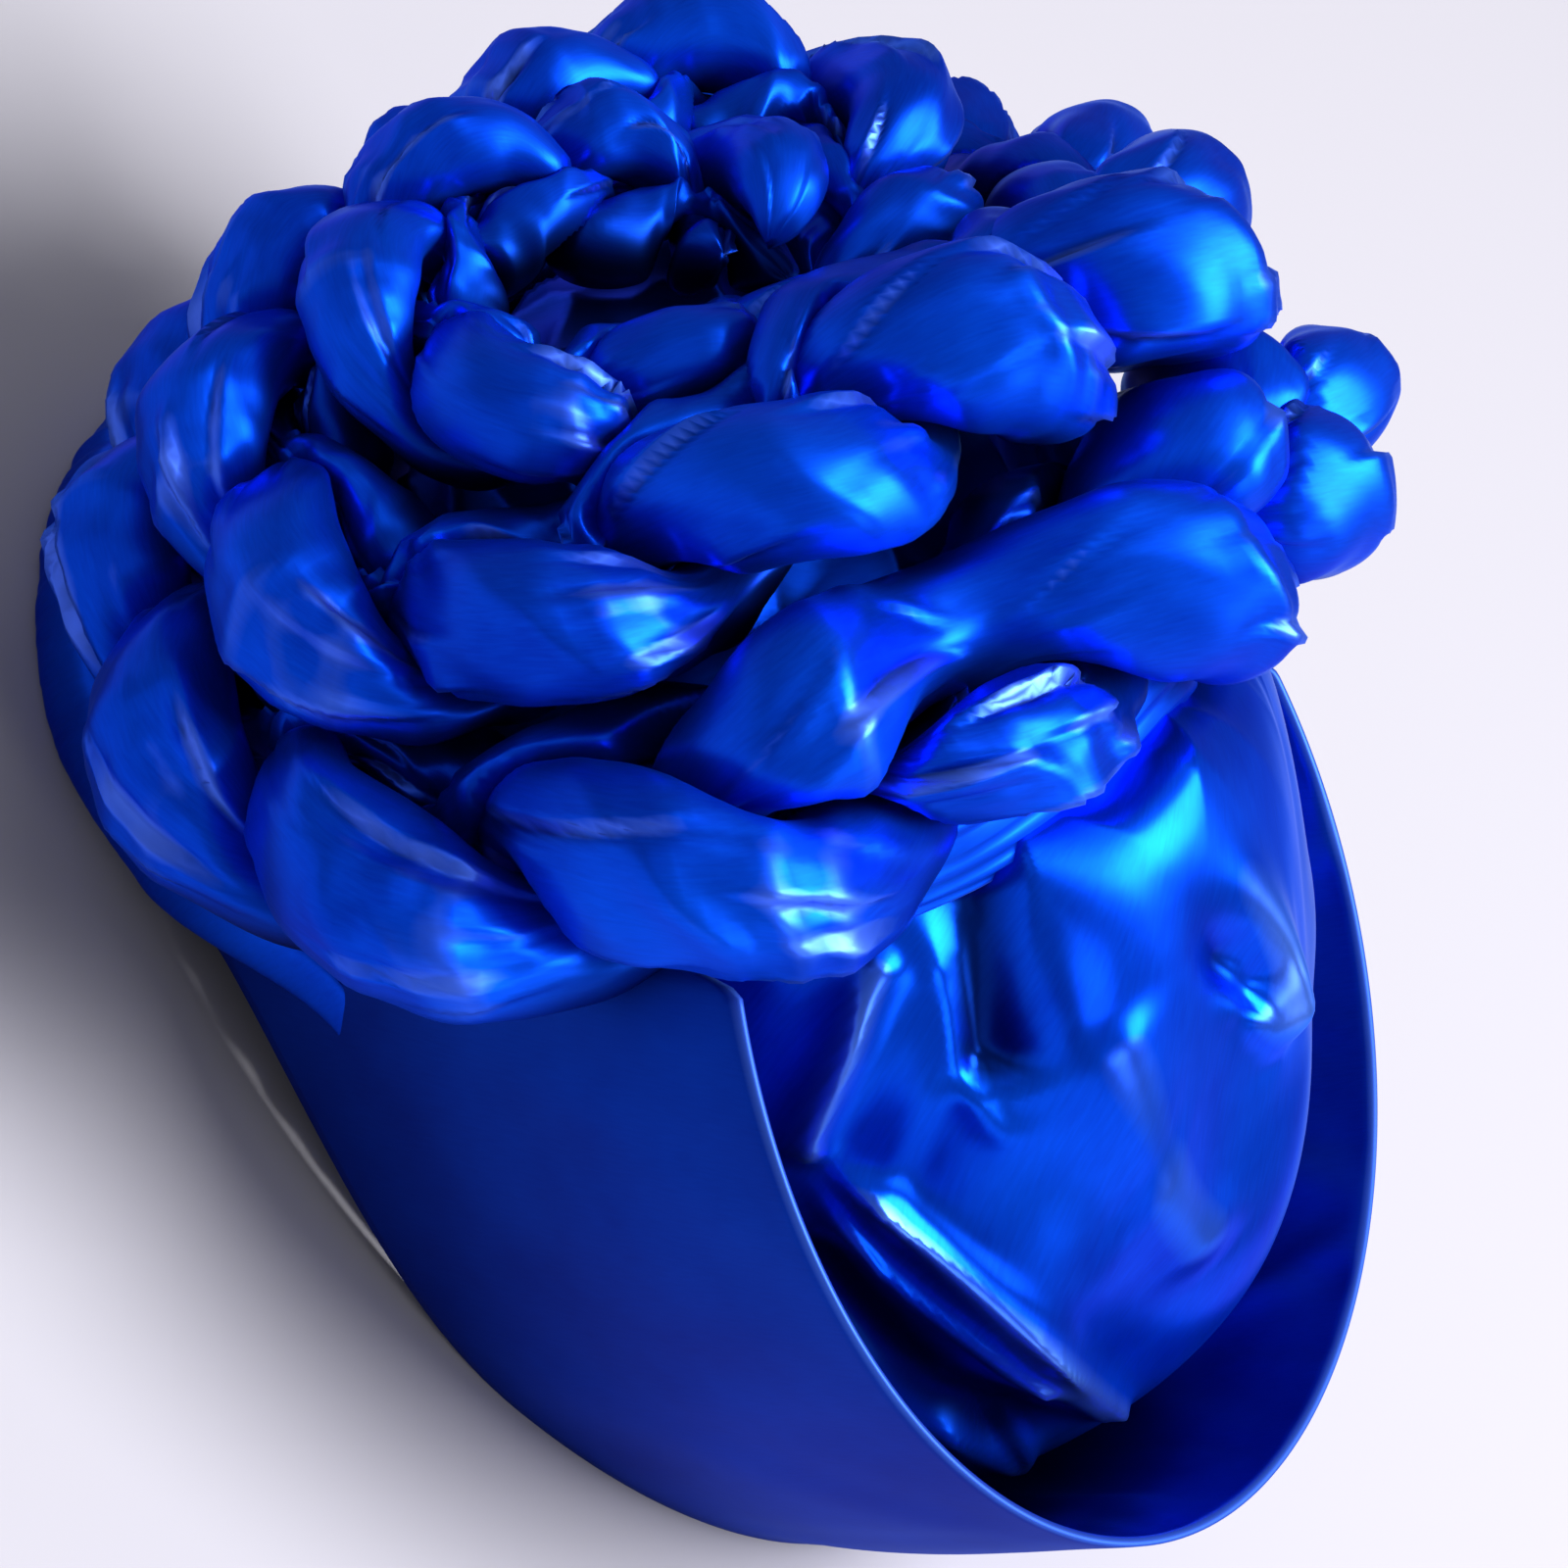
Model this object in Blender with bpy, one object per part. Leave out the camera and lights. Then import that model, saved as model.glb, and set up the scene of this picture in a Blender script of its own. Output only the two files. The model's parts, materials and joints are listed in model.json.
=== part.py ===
"""Satin turban cap: a stiff folded band, a gathered crown and a three-strand plait coiled on top.

Frame: +Z up, front of the cap toward -Y, wearer's right toward -X. The origin is on the flat
underside of the band at its front centre, so the cap rests on the plane z = 0.
Angles round the head are in degrees from the front, positive toward the wearer's right.
"""
import math

import bpy
import bmesh
import numpy as np
from mathutils import Vector

MM = 0.001

# Rim of the band where it meets the head, outer face, in millimetres
RIM_HALF_WIDTH = 75.0
RIM_FRONT = 96.0
RIM_BACK = 99.0
RIM_BACK_FLATTENING = 0.09

# Where the rim rises over the ears
EAR_LIFT = 9.0
EAR_FRONT = 62.0
EAR_TOP = 104.0
EAR_BACK = 130.0

# Upper edge of the band: an ellipse that leans forward and rises to the back
LOOP_HALF_WIDTH = 94.5
LOOP_HALF_LENGTH = 76.0
LOOP_MIDDLE = (-1.0, -41.0, 73.0)
LOOP_PITCH = 14.0

# Band: wall thickness, bow of its face, and where its upper edge dips under the plait
BAND_WALL = 3.0
BAND_BOW = 2.0
BAND_DIP_START = 105.0
BAND_DIP_END = 118.0
BAND_NAPE_HEIGHT = 12.0
BAND_END = 122.0
BAND_STEPS = 52

# Padded hem round the back of the head
HEM_START = 94.0
HEM_FULL = 122.0
HEM_DEPTH = 7.5
HEM_HEIGHT = 13.0
HEM_RISE = 14.0
HEM_LEVEL = 112.0
HEM_CLEARANCE = 0.8

# Crown: a hollow gathered dome with a mound that carries the plait
CROWN_WALL = 2.0
CROWN_CLEARANCE = 0.95
CROWN_HEIGHT = 106.0
CROWN_FULLNESS_FRONT = 0.62
CROWN_FULLNESS_BACK = 1.65
CROWN_PUFF = 0.12
CROWN_PUFF_LOW = 0.8
CROWN_AROUND = 40
CROWN_ROWS = 12
GATHERS = 9
GATHER_DEPTH = 2.4

# Mound of the crown under the plait: its height in the coil's frame, and how it keeps off the strands
MOUND_TOP = -10.0
MOUND_FALL = 0.0045
MOUND_START = 0.5
MOUND_FACING = (0.12, 0.62)
MOUND_GAP = 1.8
MOUND_REACH = 1.9
MOUND_SOFTNESS = 4.0

# Coil of the plait: its own middle, and the axis that it winds round
COIL_MIDDLE = (-34.0, 62.0, 88.0)
COIL_AXIS = (-0.327, 0.596, 0.733)
COIL_LEAN = 0.55
ROW_STEP = 45.0
COIL_START = 38.0
COIL_END = 1130.0
# Columns of the coil's table: radius, rise along the axis, and width of the plait
RADIUS, RISE, WIDTH = range(3)
# One row each 45 degrees of turn, from 0
COIL_ROWS = (
    (95.0, -36.0, 28.0),
    (89.0, -28.0, 33.0),
    (67.0, -12.0, 40.0),
    (70.0, -15.0, 42.0),
    (72.0, -29.0, 40.0),
    (57.0, -24.0, 35.0),
    (42.0, -17.0, 28.0),
    (48.0, -20.0, 27.0),
    (80.0, -28.0, 30.0),
    (67.0, -1.0, 34.0),
    (41.0, 12.0, 36.0),
    (42.0, 6.0, 36.0),
    (54.0, -7.0, 33.0),
    (43.0, 0.0, 28.0),
    (26.0, 6.0, 25.0),
    (29.0, 7.0, 26.0),
    (52.0, 1.0, 28.0),
    (31.0, 0.0, 26.0),
    (19.0, 1.0, 24.0),
    (20.0, 5.0, 24.0),
    (29.0, 8.0, 24.0),
    (27.0, 12.0, 22.0),
    (18.0, 14.0, 20.0),
    (14.0, 11.0, 19.0),
    (20.0, 8.0, 19.0),
    (19.0, 8.0, 20.0),
    (14.0, 8.0, 20.0),
)

# Plait: shares of its width, and how its three strands cross
CYCLE_LENGTH = 2.5
PHASE_START = 60.0
PHASE_STEP = 24.0
SWING_ACROSS = 0.22
SWING_OUT = 0.13
STRAND_RADIUS = 0.3
STRAND_SWELL = 0.04
STRAND_SIDES = 7
STRANDS = 3
SQUASH = 8.0
NEIGHBOUR_REACH = 40.0
SAME_STRAND_STEPS = 6
STRAND_GAP = 1.3
SQUASH_LEAST = 0.6

# Roll of satin tucked between the plait and the crown
ROLL_START = 78.0
ROLL_END = 148.0
ROLL_OUT = 2.2
ROLL_DROP = -7.0
ROLL_RADIUS = 3.6


# The origin is under the middle of the band's wall at its front centre
Y_SHIFT = RIM_FRONT - BAND_WALL / 2.0

# Colours, linear
BAND_BLUE = (0.002, 0.022, 0.32)
SATIN_BLUE = (0.001, 0.045, 0.58)


def smooth(edge0, edge1, value):
    """Rise smoothly from 0 to 1 between two edges."""
    share = min(1.0, max(0.0, (value - edge0) / (edge1 - edge0)))
    return share * share * (3.0 - 2.0 * share)


def rim_point(angle, inset=0.0):
    """Point of the rim ellipse, moved inward by an inset."""
    turn = math.radians(angle)
    ahead = math.cos(turn)
    length = RIM_FRONT if ahead > 0.0 else RIM_BACK * (1.0 - RIM_BACK_FLATTENING * ahead ** 2)
    return Vector((
        -(RIM_HALF_WIDTH - inset) * math.sin(turn),
        -(length - inset) * ahead,
        0.0,
    ))


def rim_lift(angle):
    """Height of the rim over the ears; it lies flat at the front and at the nape."""
    side = abs(angle)
    return EAR_LIFT * smooth(EAR_FRONT, EAR_TOP, side) * (1.0 - smooth(EAR_TOP, EAR_BACK, side))


def loop_point(angle):
    """Point of the band's upper edge, before it dips under the plait."""
    turn = math.radians(angle)
    pitch = math.radians(LOOP_PITCH)
    along = -LOOP_HALF_LENGTH * math.cos(turn)
    return Vector(LOOP_MIDDLE) + Vector((
        -LOOP_HALF_WIDTH * math.sin(turn),
        along * math.cos(pitch),
        along * math.sin(pitch),
    ))


def band_top(angle):
    """Upper edge of the band, down to a low strip round the nape."""
    nape = rim_point(angle) + Vector((0.0, 0.0, rim_lift(angle) + BAND_NAPE_HEIGHT))
    share = smooth(BAND_DIP_START, BAND_DIP_END, abs(angle))
    return loop_point(angle).lerp(nape, share)


def band_face(angle, share):
    """Point of the band's outer face, from the rim (0) to the upper edge (1)."""
    low = rim_point(angle) + Vector((0.0, 0.0, rim_lift(angle)))
    high = band_top(angle)
    outward = rim_point(angle).normalized()
    bow = BAND_BOW * math.sin(math.pi * share) * (high.z / LOOP_MIDDLE[2])
    return low.lerp(high, share) + outward * bow


def grid_solid(name, rings, colour, roughness):
    """Join a run of rings of points into one solid with capped ends."""
    mesh = bmesh.new()
    rows = [[mesh.verts.new((p[0] * MM, (p[1] + Y_SHIFT) * MM, p[2] * MM)) for p in ring] for ring in rings]
    sides = len(rows[0])
    for near, far in zip(rows, rows[1:]):
        for j in range(sides):
            k = (j + 1) % sides
            mesh.faces.new((near[j], near[k], far[k], far[j]))
    mesh.faces.new(rows[0][::-1])
    mesh.faces.new(rows[-1])
    bmesh.ops.triangulate(mesh, faces=mesh.faces[:])
    bmesh.ops.recalc_face_normals(mesh, faces=mesh.faces[:])
    return finish_object(name, mesh, colour, roughness)


def finish_object(name, mesh, colour, roughness):
    """Make a smooth-shaded object with its own satin material."""
    data = bpy.data.meshes.new(name)
    mesh.to_mesh(data)
    mesh.free()
    data.shade_smooth()
    data.set_sharp_from_angle(angle=math.radians(40.0))
    material = bpy.data.materials.new(name)
    material.use_nodes = True
    shader = material.node_tree.nodes["Principled BSDF"]
    shader.inputs["Base Color"].default_value = (*colour, 1.0)
    shader.inputs["Roughness"].default_value = roughness
    shader.inputs["Metallic"].default_value = 0.0
    data.materials.append(material)
    piece = bpy.data.objects.new(name, data)
    bpy.context.collection.objects.link(piece)
    return piece


def build_band():
    """Stiff double cloth, folded at its upper edge, standing off the crown all round the front."""
    outer = (0.0, 0.2, 0.4, 0.6, 0.8, 0.97)
    rings = []
    for step in range(BAND_STEPS + 1):
        angle = BAND_END * (2.0 * step / BAND_STEPS - 1.0)
        inward = -rim_point(angle).normalized()
        ring = [band_face(angle, share) for share in outer]
        ring.append(band_face(angle, 1.0) + inward * BAND_WALL * 0.5)
        ring += [band_face(angle, share) + inward * BAND_WALL for share in reversed(outer)]
        rings.append(ring)
    return grid_solid("band", rings, BAND_BLUE, 0.55)


def build_hem():
    """Padded hem that curves round the nape under the plait."""
    rings = []
    sides = 8
    steps = 36
    for step in range(steps + 1):
        angle = HEM_START + (360.0 - 2.0 * HEM_START) * step / steps
        edge = min(angle, 360.0 - angle)
        swell = 0.25 + 0.75 * smooth(HEM_START, HEM_FULL, edge)
        depth = HEM_DEPTH * swell
        height = HEM_HEIGHT * (0.55 + 0.45 * swell)
        outward = rim_point(angle).normalized()
        signed = angle if angle <= 180.0 else angle - 360.0
        lift = HEM_RISE * (1.0 - smooth(HEM_START, HEM_LEVEL, edge))
        tall = band_top(signed).z - rim_lift(signed)
        shares = [min(1.0, (lift + height * level) / tall) for level in (0.0, 0.5, 1.0)]
        flare = max((band_face(signed, share) - rim_point(signed)).dot(outward) for share in shares)
        foot = rim_point(angle) + outward * (max(0.0, flare) + HEM_CLEARANCE + depth / 2.0)
        foot.z = rim_lift(signed) + lift
        ring = []
        for side in range(sides):
            turn = math.tau * (side + 0.5) / sides
            ring.append(
                foot + outward * (depth / 2.0 * math.cos(turn) / math.cos(math.pi / sides))
                + Vector((0.0, 0.0, height / 2.0 * (1.0 + math.sin(turn) / math.cos(math.pi / sides))))
            )
        rings.append(ring)
    return grid_solid("back_hem", rings, SATIN_BLUE, 0.4)


def coil_basis():
    """Axis of the coil, and the two directions of its plane."""
    axis = Vector(COIL_AXIS).normalized()
    side = (Vector((1.0, 0.0, 0.0)) - axis * axis.x).normalized()
    return axis, side, axis.cross(side)


def crown_point(angle, lift, inset, strands):
    """Point of the crown, from its rim (lift 0) to its apex (lift 1)."""
    climb = lift * math.pi / 2.0
    ahead = math.cos(math.radians(angle))
    front = 0.5 + 0.5 * ahead
    fullness = CROWN_FULLNESS_FRONT + (CROWN_FULLNESS_BACK - CROWN_FULLNESS_FRONT) * max(0.0, -ahead)
    reach = math.cos(climb) ** fullness if lift < 1.0 else 0.0
    reach *= 1.0 + CROWN_PUFF * max(0.0, ahead) ** 0.7 * math.sin(math.pi * lift ** CROWN_PUFF_LOW)
    base = rim_point(angle, BAND_WALL + CROWN_CLEARANCE + inset)
    fold = GATHER_DEPTH * math.cos(math.radians(angle) * GATHERS) * math.sin(2.0 * climb) ** 2
    point = base * (reach * (1.0 + fold * front / base.length))
    foot = rim_lift(angle if angle <= 180.0 else 360.0 - angle)
    point.z = foot + (CROWN_HEIGHT - inset - foot) * math.sin(climb)
    return raise_to_mound(point, inset, smooth(0.0, MOUND_START, lift), strands)


def raise_to_mound(point, inset, share, strands):
    """Lift the top of the dome along the coil's axis, up to a low mound or to just under the strands."""
    axis, side, up = coil_basis()
    slope = Vector((
        point.x / RIM_HALF_WIDTH ** 2,
        point.y / RIM_FRONT ** 2,
        point.z / CROWN_HEIGHT ** 2,
    )).normalized()
    share *= smooth(*MOUND_FACING, slope.dot(axis))
    offset = point - Vector(COIL_MIDDLE)
    rise = offset.dot(axis)
    radius_squared = offset.dot(side) ** 2 + offset.dot(up) ** 2
    ceiling = MOUND_TOP - inset - MOUND_FALL * radius_squared - rise
    centres, radii = strands
    ways = centres - np.array(point)
    along = ways @ np.array(axis)
    away = np.maximum((ways ** 2).sum(axis=1) - along ** 2, 0.0)
    wide = MOUND_REACH * radii
    over = away < wide ** 2
    rooms = along[over] + wide[over] - radii[over] - np.sqrt(wide[over] ** 2 - away[over])
    room = rooms.min() - MOUND_GAP - inset if over.any() else ceiling + 60.0
    lower = min(ceiling, room)
    gap = abs(ceiling - room)
    travel = lower - MOUND_SOFTNESS * math.log(1.0 + math.exp(-gap / MOUND_SOFTNESS))
    travel = 0.5 * (travel + math.sqrt(travel * travel + 36.0)) * smooth(-10.0, 6.0, travel)
    return point + axis * (travel * share)


def build_crown():
    """Hollow dome of gathered satin, open where the head goes in."""
    around = CROWN_AROUND
    rows = CROWN_ROWS
    stations = plait_stations()
    paths = [strand_path(stations, strand) for strand in range(STRANDS)]
    strands = tuple(np.concatenate([path[part] for path in paths]) for part in (0, 1))
    mesh = bmesh.new()
    shells = []
    for inset in (0.0, CROWN_WALL):
        rings = []
        for row in range(rows):
            lift = row / rows
            ring = []
            for step in range(around):
                point = crown_point(step * 360.0 / around, lift, inset, strands)
                ring.append(mesh.verts.new((point.x * MM, (point.y + Y_SHIFT) * MM, point.z * MM)))
            rings.append(ring)
        top = crown_point(0.0, 1.0, inset, strands)
        apex = mesh.verts.new((top.x * MM, (top.y + Y_SHIFT) * MM, top.z * MM))
        for low, high in zip(rings, rings[1:]):
            for j in range(around):
                k = (j + 1) % around
                mesh.faces.new((low[j], low[k], high[k], high[j]))
        for j in range(around):
            mesh.faces.new((rings[-1][j], rings[-1][(j + 1) % around], apex))
        shells.append(rings[0])
    for j in range(around):
        k = (j + 1) % around
        mesh.faces.new((shells[0][j], shells[0][k], shells[1][k], shells[1][j]))
    bmesh.ops.triangulate(mesh, faces=mesh.faces[:])
    bmesh.ops.recalc_face_normals(mesh, faces=mesh.faces[:])
    return finish_object("crown", mesh, SATIN_BLUE, 0.3)


def row_value(column, turn):
    """Value of one column of the coil's table at a turn, on a smooth curve through its rows."""
    index = int(turn / ROW_STEP)
    share = turn / ROW_STEP - index
    last = len(COIL_ROWS) - 1
    near = [COIL_ROWS[min(max(index + step, 0), last)][column] for step in (-1, 0, 1, 2)]
    before, start, end, after = near
    slope0 = (end - before) / 2.0
    slope1 = (after - start) / 2.0
    return (
        start * (1.0 + 2.0 * share) * (1.0 - share) ** 2
        + slope0 * share * (1.0 - share) ** 2
        + end * share ** 2 * (3.0 - 2.0 * share)
        + slope1 * share ** 2 * (share - 1.0)
    )


def coil_point(turn):
    """Middle line of the plait at a turn of the coil."""
    axis, side, up = coil_basis()
    angle = math.radians(turn)
    radius = row_value(RADIUS, turn)
    spoke = side * math.cos(angle) - up * math.sin(angle)
    return Vector(COIL_MIDDLE) + axis * row_value(RISE, turn) + spoke * radius


def coil_frame(turn):
    """Middle of the plait, direction across it (away from the coil's middle) and outward direction."""
    axis, side, up = coil_basis()
    angle = math.radians(turn)
    spoke = side * math.cos(angle) - up * math.sin(angle)
    lean = math.radians(COIL_LEAN * row_value(RADIUS, turn))
    tangent = (coil_point(turn + 1.5) - coil_point(turn - 1.5)).normalized()
    outward = axis * math.cos(lean) + spoke * math.sin(lean)
    outward = (outward - tangent * outward.dot(tangent)).normalized()
    across = outward.cross(tangent)
    if across.dot(spoke) < 0.0:
        across.negate()
    return coil_point(turn), across, outward


def plait_stations():
    """Turns and phases of the plait's cross-sections, at equal steps of phase."""
    stations = []
    phase = PHASE_START
    turn = COIL_START
    stride = 0.5
    due = phase
    while turn < COIL_END:
        if phase >= due:
            stations.append((turn, phase))
            due += PHASE_STEP
        length = (coil_point(turn + stride) - coil_point(turn)).length
        phase += 360.0 * length / (CYCLE_LENGTH * row_value(WIDTH, turn))
        turn += stride
    return stations


def strand_centre(phase, strand, width):
    """Place of a strand in the plait's cross-section: across, outward."""
    angle = math.radians(phase + strand * 360.0 / STRANDS)
    return (
        SWING_ACROSS * width * math.sin(angle),
        -SWING_OUT * width * math.sin(2.0 * angle),
    )


def strand_path(stations, strand):
    """Centres and free radii of one strand at each of the stations."""
    centres = []
    radii = []
    for turn, phase in stations:
        middle, across, outward = coil_frame(turn)
        width = row_value(WIDTH, turn)
        u, v = strand_centre(phase, strand, width)
        centres.append(middle + across * u + outward * v)
        radii.append(width * STRAND_RADIUS + STRAND_SWELL * v / SWING_OUT)
    return np.array(centres), np.array(radii)


def squashed_reach(centre, radius, ray, others, other_radii):
    """How far a strand reaches along a ray before it presses on a neighbour."""
    ways = others - centre
    distances = np.linalg.norm(ways, axis=1)
    facing = ways @ ray / distances
    ahead = facing > 0.05
    halfway = (distances ** 2 + radius ** 2 - other_radii ** 2) / (2.0 * distances) - STRAND_GAP
    walls = np.maximum(SQUASH_LEAST, halfway[ahead]) / facing[ahead]
    return ((radius ** -SQUASH) + (walls ** -SQUASH).sum()) ** (-1.0 / SQUASH)


def build_strands():
    """Three stuffed tubes of satin, plaited together and coiled from the outside in."""
    stations = plait_stations()
    count = len(stations)
    paths = [strand_path(stations, strand) for strand in range(STRANDS)]
    for strand, (centres, radii) in enumerate(paths):
        rings = []
        for place, (turn, phase) in enumerate(stations):
            fill = min(1.0, 0.4 + 0.3 * min(place, count - 1 - place))
            others = []
            other_radii = []
            for other, (other_centres, radius_list) in enumerate(paths):
                steps = abs(np.arange(count) - place)
                near = np.linalg.norm(other_centres - centres[place], axis=1) < NEIGHBOUR_REACH
                keep = near & ((steps > SAME_STRAND_STEPS) | (other != strand))
                others.append(other_centres[keep])
                other_radii.append(radius_list[keep])
            others = np.concatenate(others)
            other_radii = np.concatenate(other_radii)
            across, outward = coil_frame(turn)[1:]
            ring = []
            for side in range(STRAND_SIDES):
                angle = math.tau * side / STRAND_SIDES
                ray = np.array(across * math.cos(angle) + outward * math.sin(angle))
                reach = squashed_reach(centres[place], radii[place], ray, others, other_radii)
                ring.append(Vector(centres[place] + ray * reach * fill))
            rings.append(ring)
        grid_solid(f"strand_{strand + 1}", rings, SATIN_BLUE, 0.3)


def build_roll():
    """Rolled edge of satin tucked under the front of the plait."""
    rings = []
    steps = 20
    sides = 8
    for step in range(steps + 1):
        turn = ROLL_START + (ROLL_END - ROLL_START) * step / steps
        middle, across, outward = coil_frame(turn)
        width = row_value(WIDTH, turn)
        seat = middle + across * (width / 2.0 + ROLL_OUT) + outward * ROLL_DROP
        radius = ROLL_RADIUS * min(1.0, 0.3 + 0.35 * min(step, steps - step))
        ring = []
        for side in range(sides):
            angle = math.tau * side / sides
            ring.append(seat + across * (radius * math.cos(angle)) + outward * (radius * math.sin(angle)))
        rings.append(ring)
    return grid_solid("tucked_roll", rings, SATIN_BLUE, 0.3)


def main():
    for leftover in list(bpy.data.objects):
        bpy.data.objects.remove(leftover, do_unlink=True)
    build_band()
    build_hem()
    build_crown()
    build_strands()
    build_roll()


main()
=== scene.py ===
"""Satin turban cap: the looks of the band, crown, hem, roll and plait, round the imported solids.

Laid out as an add-on and run as a script. Lengths are written in millimetres. +Z is up, the front of
the cap is toward -Y and the wearer's right toward -X. The tables are centred in the rim, and
mesh_piece moves the points to the solids' origin, on the band's underside at its front centre.
Angles round the head are in degrees from the front, positive toward the wearer's right.
"""

import json
import math
from types import SimpleNamespace

import bpy
import numpy as np
from mathutils import Matrix, Vector

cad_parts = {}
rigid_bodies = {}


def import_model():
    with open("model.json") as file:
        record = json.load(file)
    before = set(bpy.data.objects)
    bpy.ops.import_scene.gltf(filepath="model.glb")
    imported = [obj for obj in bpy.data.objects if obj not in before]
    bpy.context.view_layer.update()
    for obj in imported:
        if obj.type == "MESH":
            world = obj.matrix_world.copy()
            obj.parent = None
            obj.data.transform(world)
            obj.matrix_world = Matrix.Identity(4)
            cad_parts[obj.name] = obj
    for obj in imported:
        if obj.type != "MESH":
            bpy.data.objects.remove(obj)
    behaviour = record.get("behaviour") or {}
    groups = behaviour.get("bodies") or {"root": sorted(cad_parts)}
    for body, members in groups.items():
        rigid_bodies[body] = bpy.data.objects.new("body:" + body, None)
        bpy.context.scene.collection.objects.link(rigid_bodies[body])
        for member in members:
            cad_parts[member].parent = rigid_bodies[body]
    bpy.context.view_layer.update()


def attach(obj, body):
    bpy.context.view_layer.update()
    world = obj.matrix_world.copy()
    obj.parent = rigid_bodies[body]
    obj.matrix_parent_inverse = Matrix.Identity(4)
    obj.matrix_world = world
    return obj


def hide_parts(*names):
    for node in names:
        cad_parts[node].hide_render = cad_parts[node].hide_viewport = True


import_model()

bl_info = {
    "name": "Satin Turban Cap",
    "version": (1, 0, 0),
    "blender": (4, 5, 0),
    "location": "View3D > Sidebar > Satin Cap",
    "description": "Builds a satin cap with a folded band, a gathered crown and a coiled plait",
    "category": "Object",
}

MM = 0.001

# Upper edge of the band: an ellipse that leans forward and rises to the back
LOOP_HALF_WIDTH = 94.5
LOOP_HALF_LENGTH = 76.0
LOOP_MIDDLE = (-1.0, -41.0, 73.0)
LOOP_PITCH = 14.0

# Ends of the band: where its edge dips to the hem on the wearer's right and left, in degrees
BAND_END = 122.0
DIP_RIGHT = (113.0, 121.0)
DIP_LEFT = (97.0, 119.0)
NAPE_HEIGHT = 12.0

# Rim on the head, and where it rises over the ears
RIM_HALF_WIDTH = 75.0
RIM_FRONT = 96.0
RIM_BACK = 99.0
RIM_BACK_FLATTENING = 0.09
EAR_LIFT = 9.0
EAR_FRONT = 62.0
EAR_TOP = 104.0
EAR_BACK = 130.0
WALL = 3.0
ORIGIN_SHIFT = RIM_FRONT - WALL / 2.0
HEAD_RADIUS = 88.0

# Padded hem: where it starts, its height, and how far its ends are lifted behind the band
HEM_START = 94.0
HEM_HEIGHT = 13.0
HEM_END_LIFT = 14.0

# Coil of the plait: its middle, the axis that it winds round, and a row each 45 degrees of turn,
# half a turn to a line
COIL_MIDDLE = (-34.0, 62.0, 88.0)
COIL_AXIS = (-0.327, 0.596, 0.733)
COIL_LEAN = 0.55
ROW_STEP = 45.0
COIL_START = 38.0
COIL_END = 1130.0
RADIUS, RISE, WIDTH = range(3)
COIL_ROWS = np.array((
    (95, -36, 28), (89, -28, 33), (67, -12, 40), (70, -15, 42),
    (68.5, -27.5, 37), (53, -22, 32), (42, -17, 28), (48, -20, 27),
    (80, -28, 30), (67, -1, 34), (41, 12, 36), (42, 6, 36),
    (54, -7, 33), (43, 0, 28), (26, 6, 25), (29, 7, 26),
    (52, 1, 28), (31, 0, 26), (19, 1, 26), (20, 5, 27),
    (29, 8, 27), (27, 12, 25), (18, 14, 24), (14, 11, 24),
    (20, 8, 24), (19, 8, 25), (14, 8, 25),
))

# Crown: how its dome fills out, and the mound that rises to just under the strands
CROWN_INSET = 3.95
FULLNESS_FRONT = 0.62
FULLNESS_BACK = 1.65
PUFF = 0.12
PUFF_LOW = 0.8
GATHERS = 9
GATHER_DEPTH = 2.4
GATHER_HEIGHT = 2.2
MOUND_TOP = 0.0
MOUND_FALL = 0.0032
MOUND_START = 0.5
MOUND_FACING = (0.12, 0.62)
MOUND_GAP = 1.6
MOUND_REACH = 1.9
MOUND_SOFTNESS = 4.0
MOUND_EASE = 6.0
STRAND_FREE_RADIUS = 0.3

# Crowding of the crown's columns toward its folds: degrees, and its place as a share of a turn
COLUMN_CROWDING = 42.0
COLUMN_CENTRE = 0.12

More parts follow.
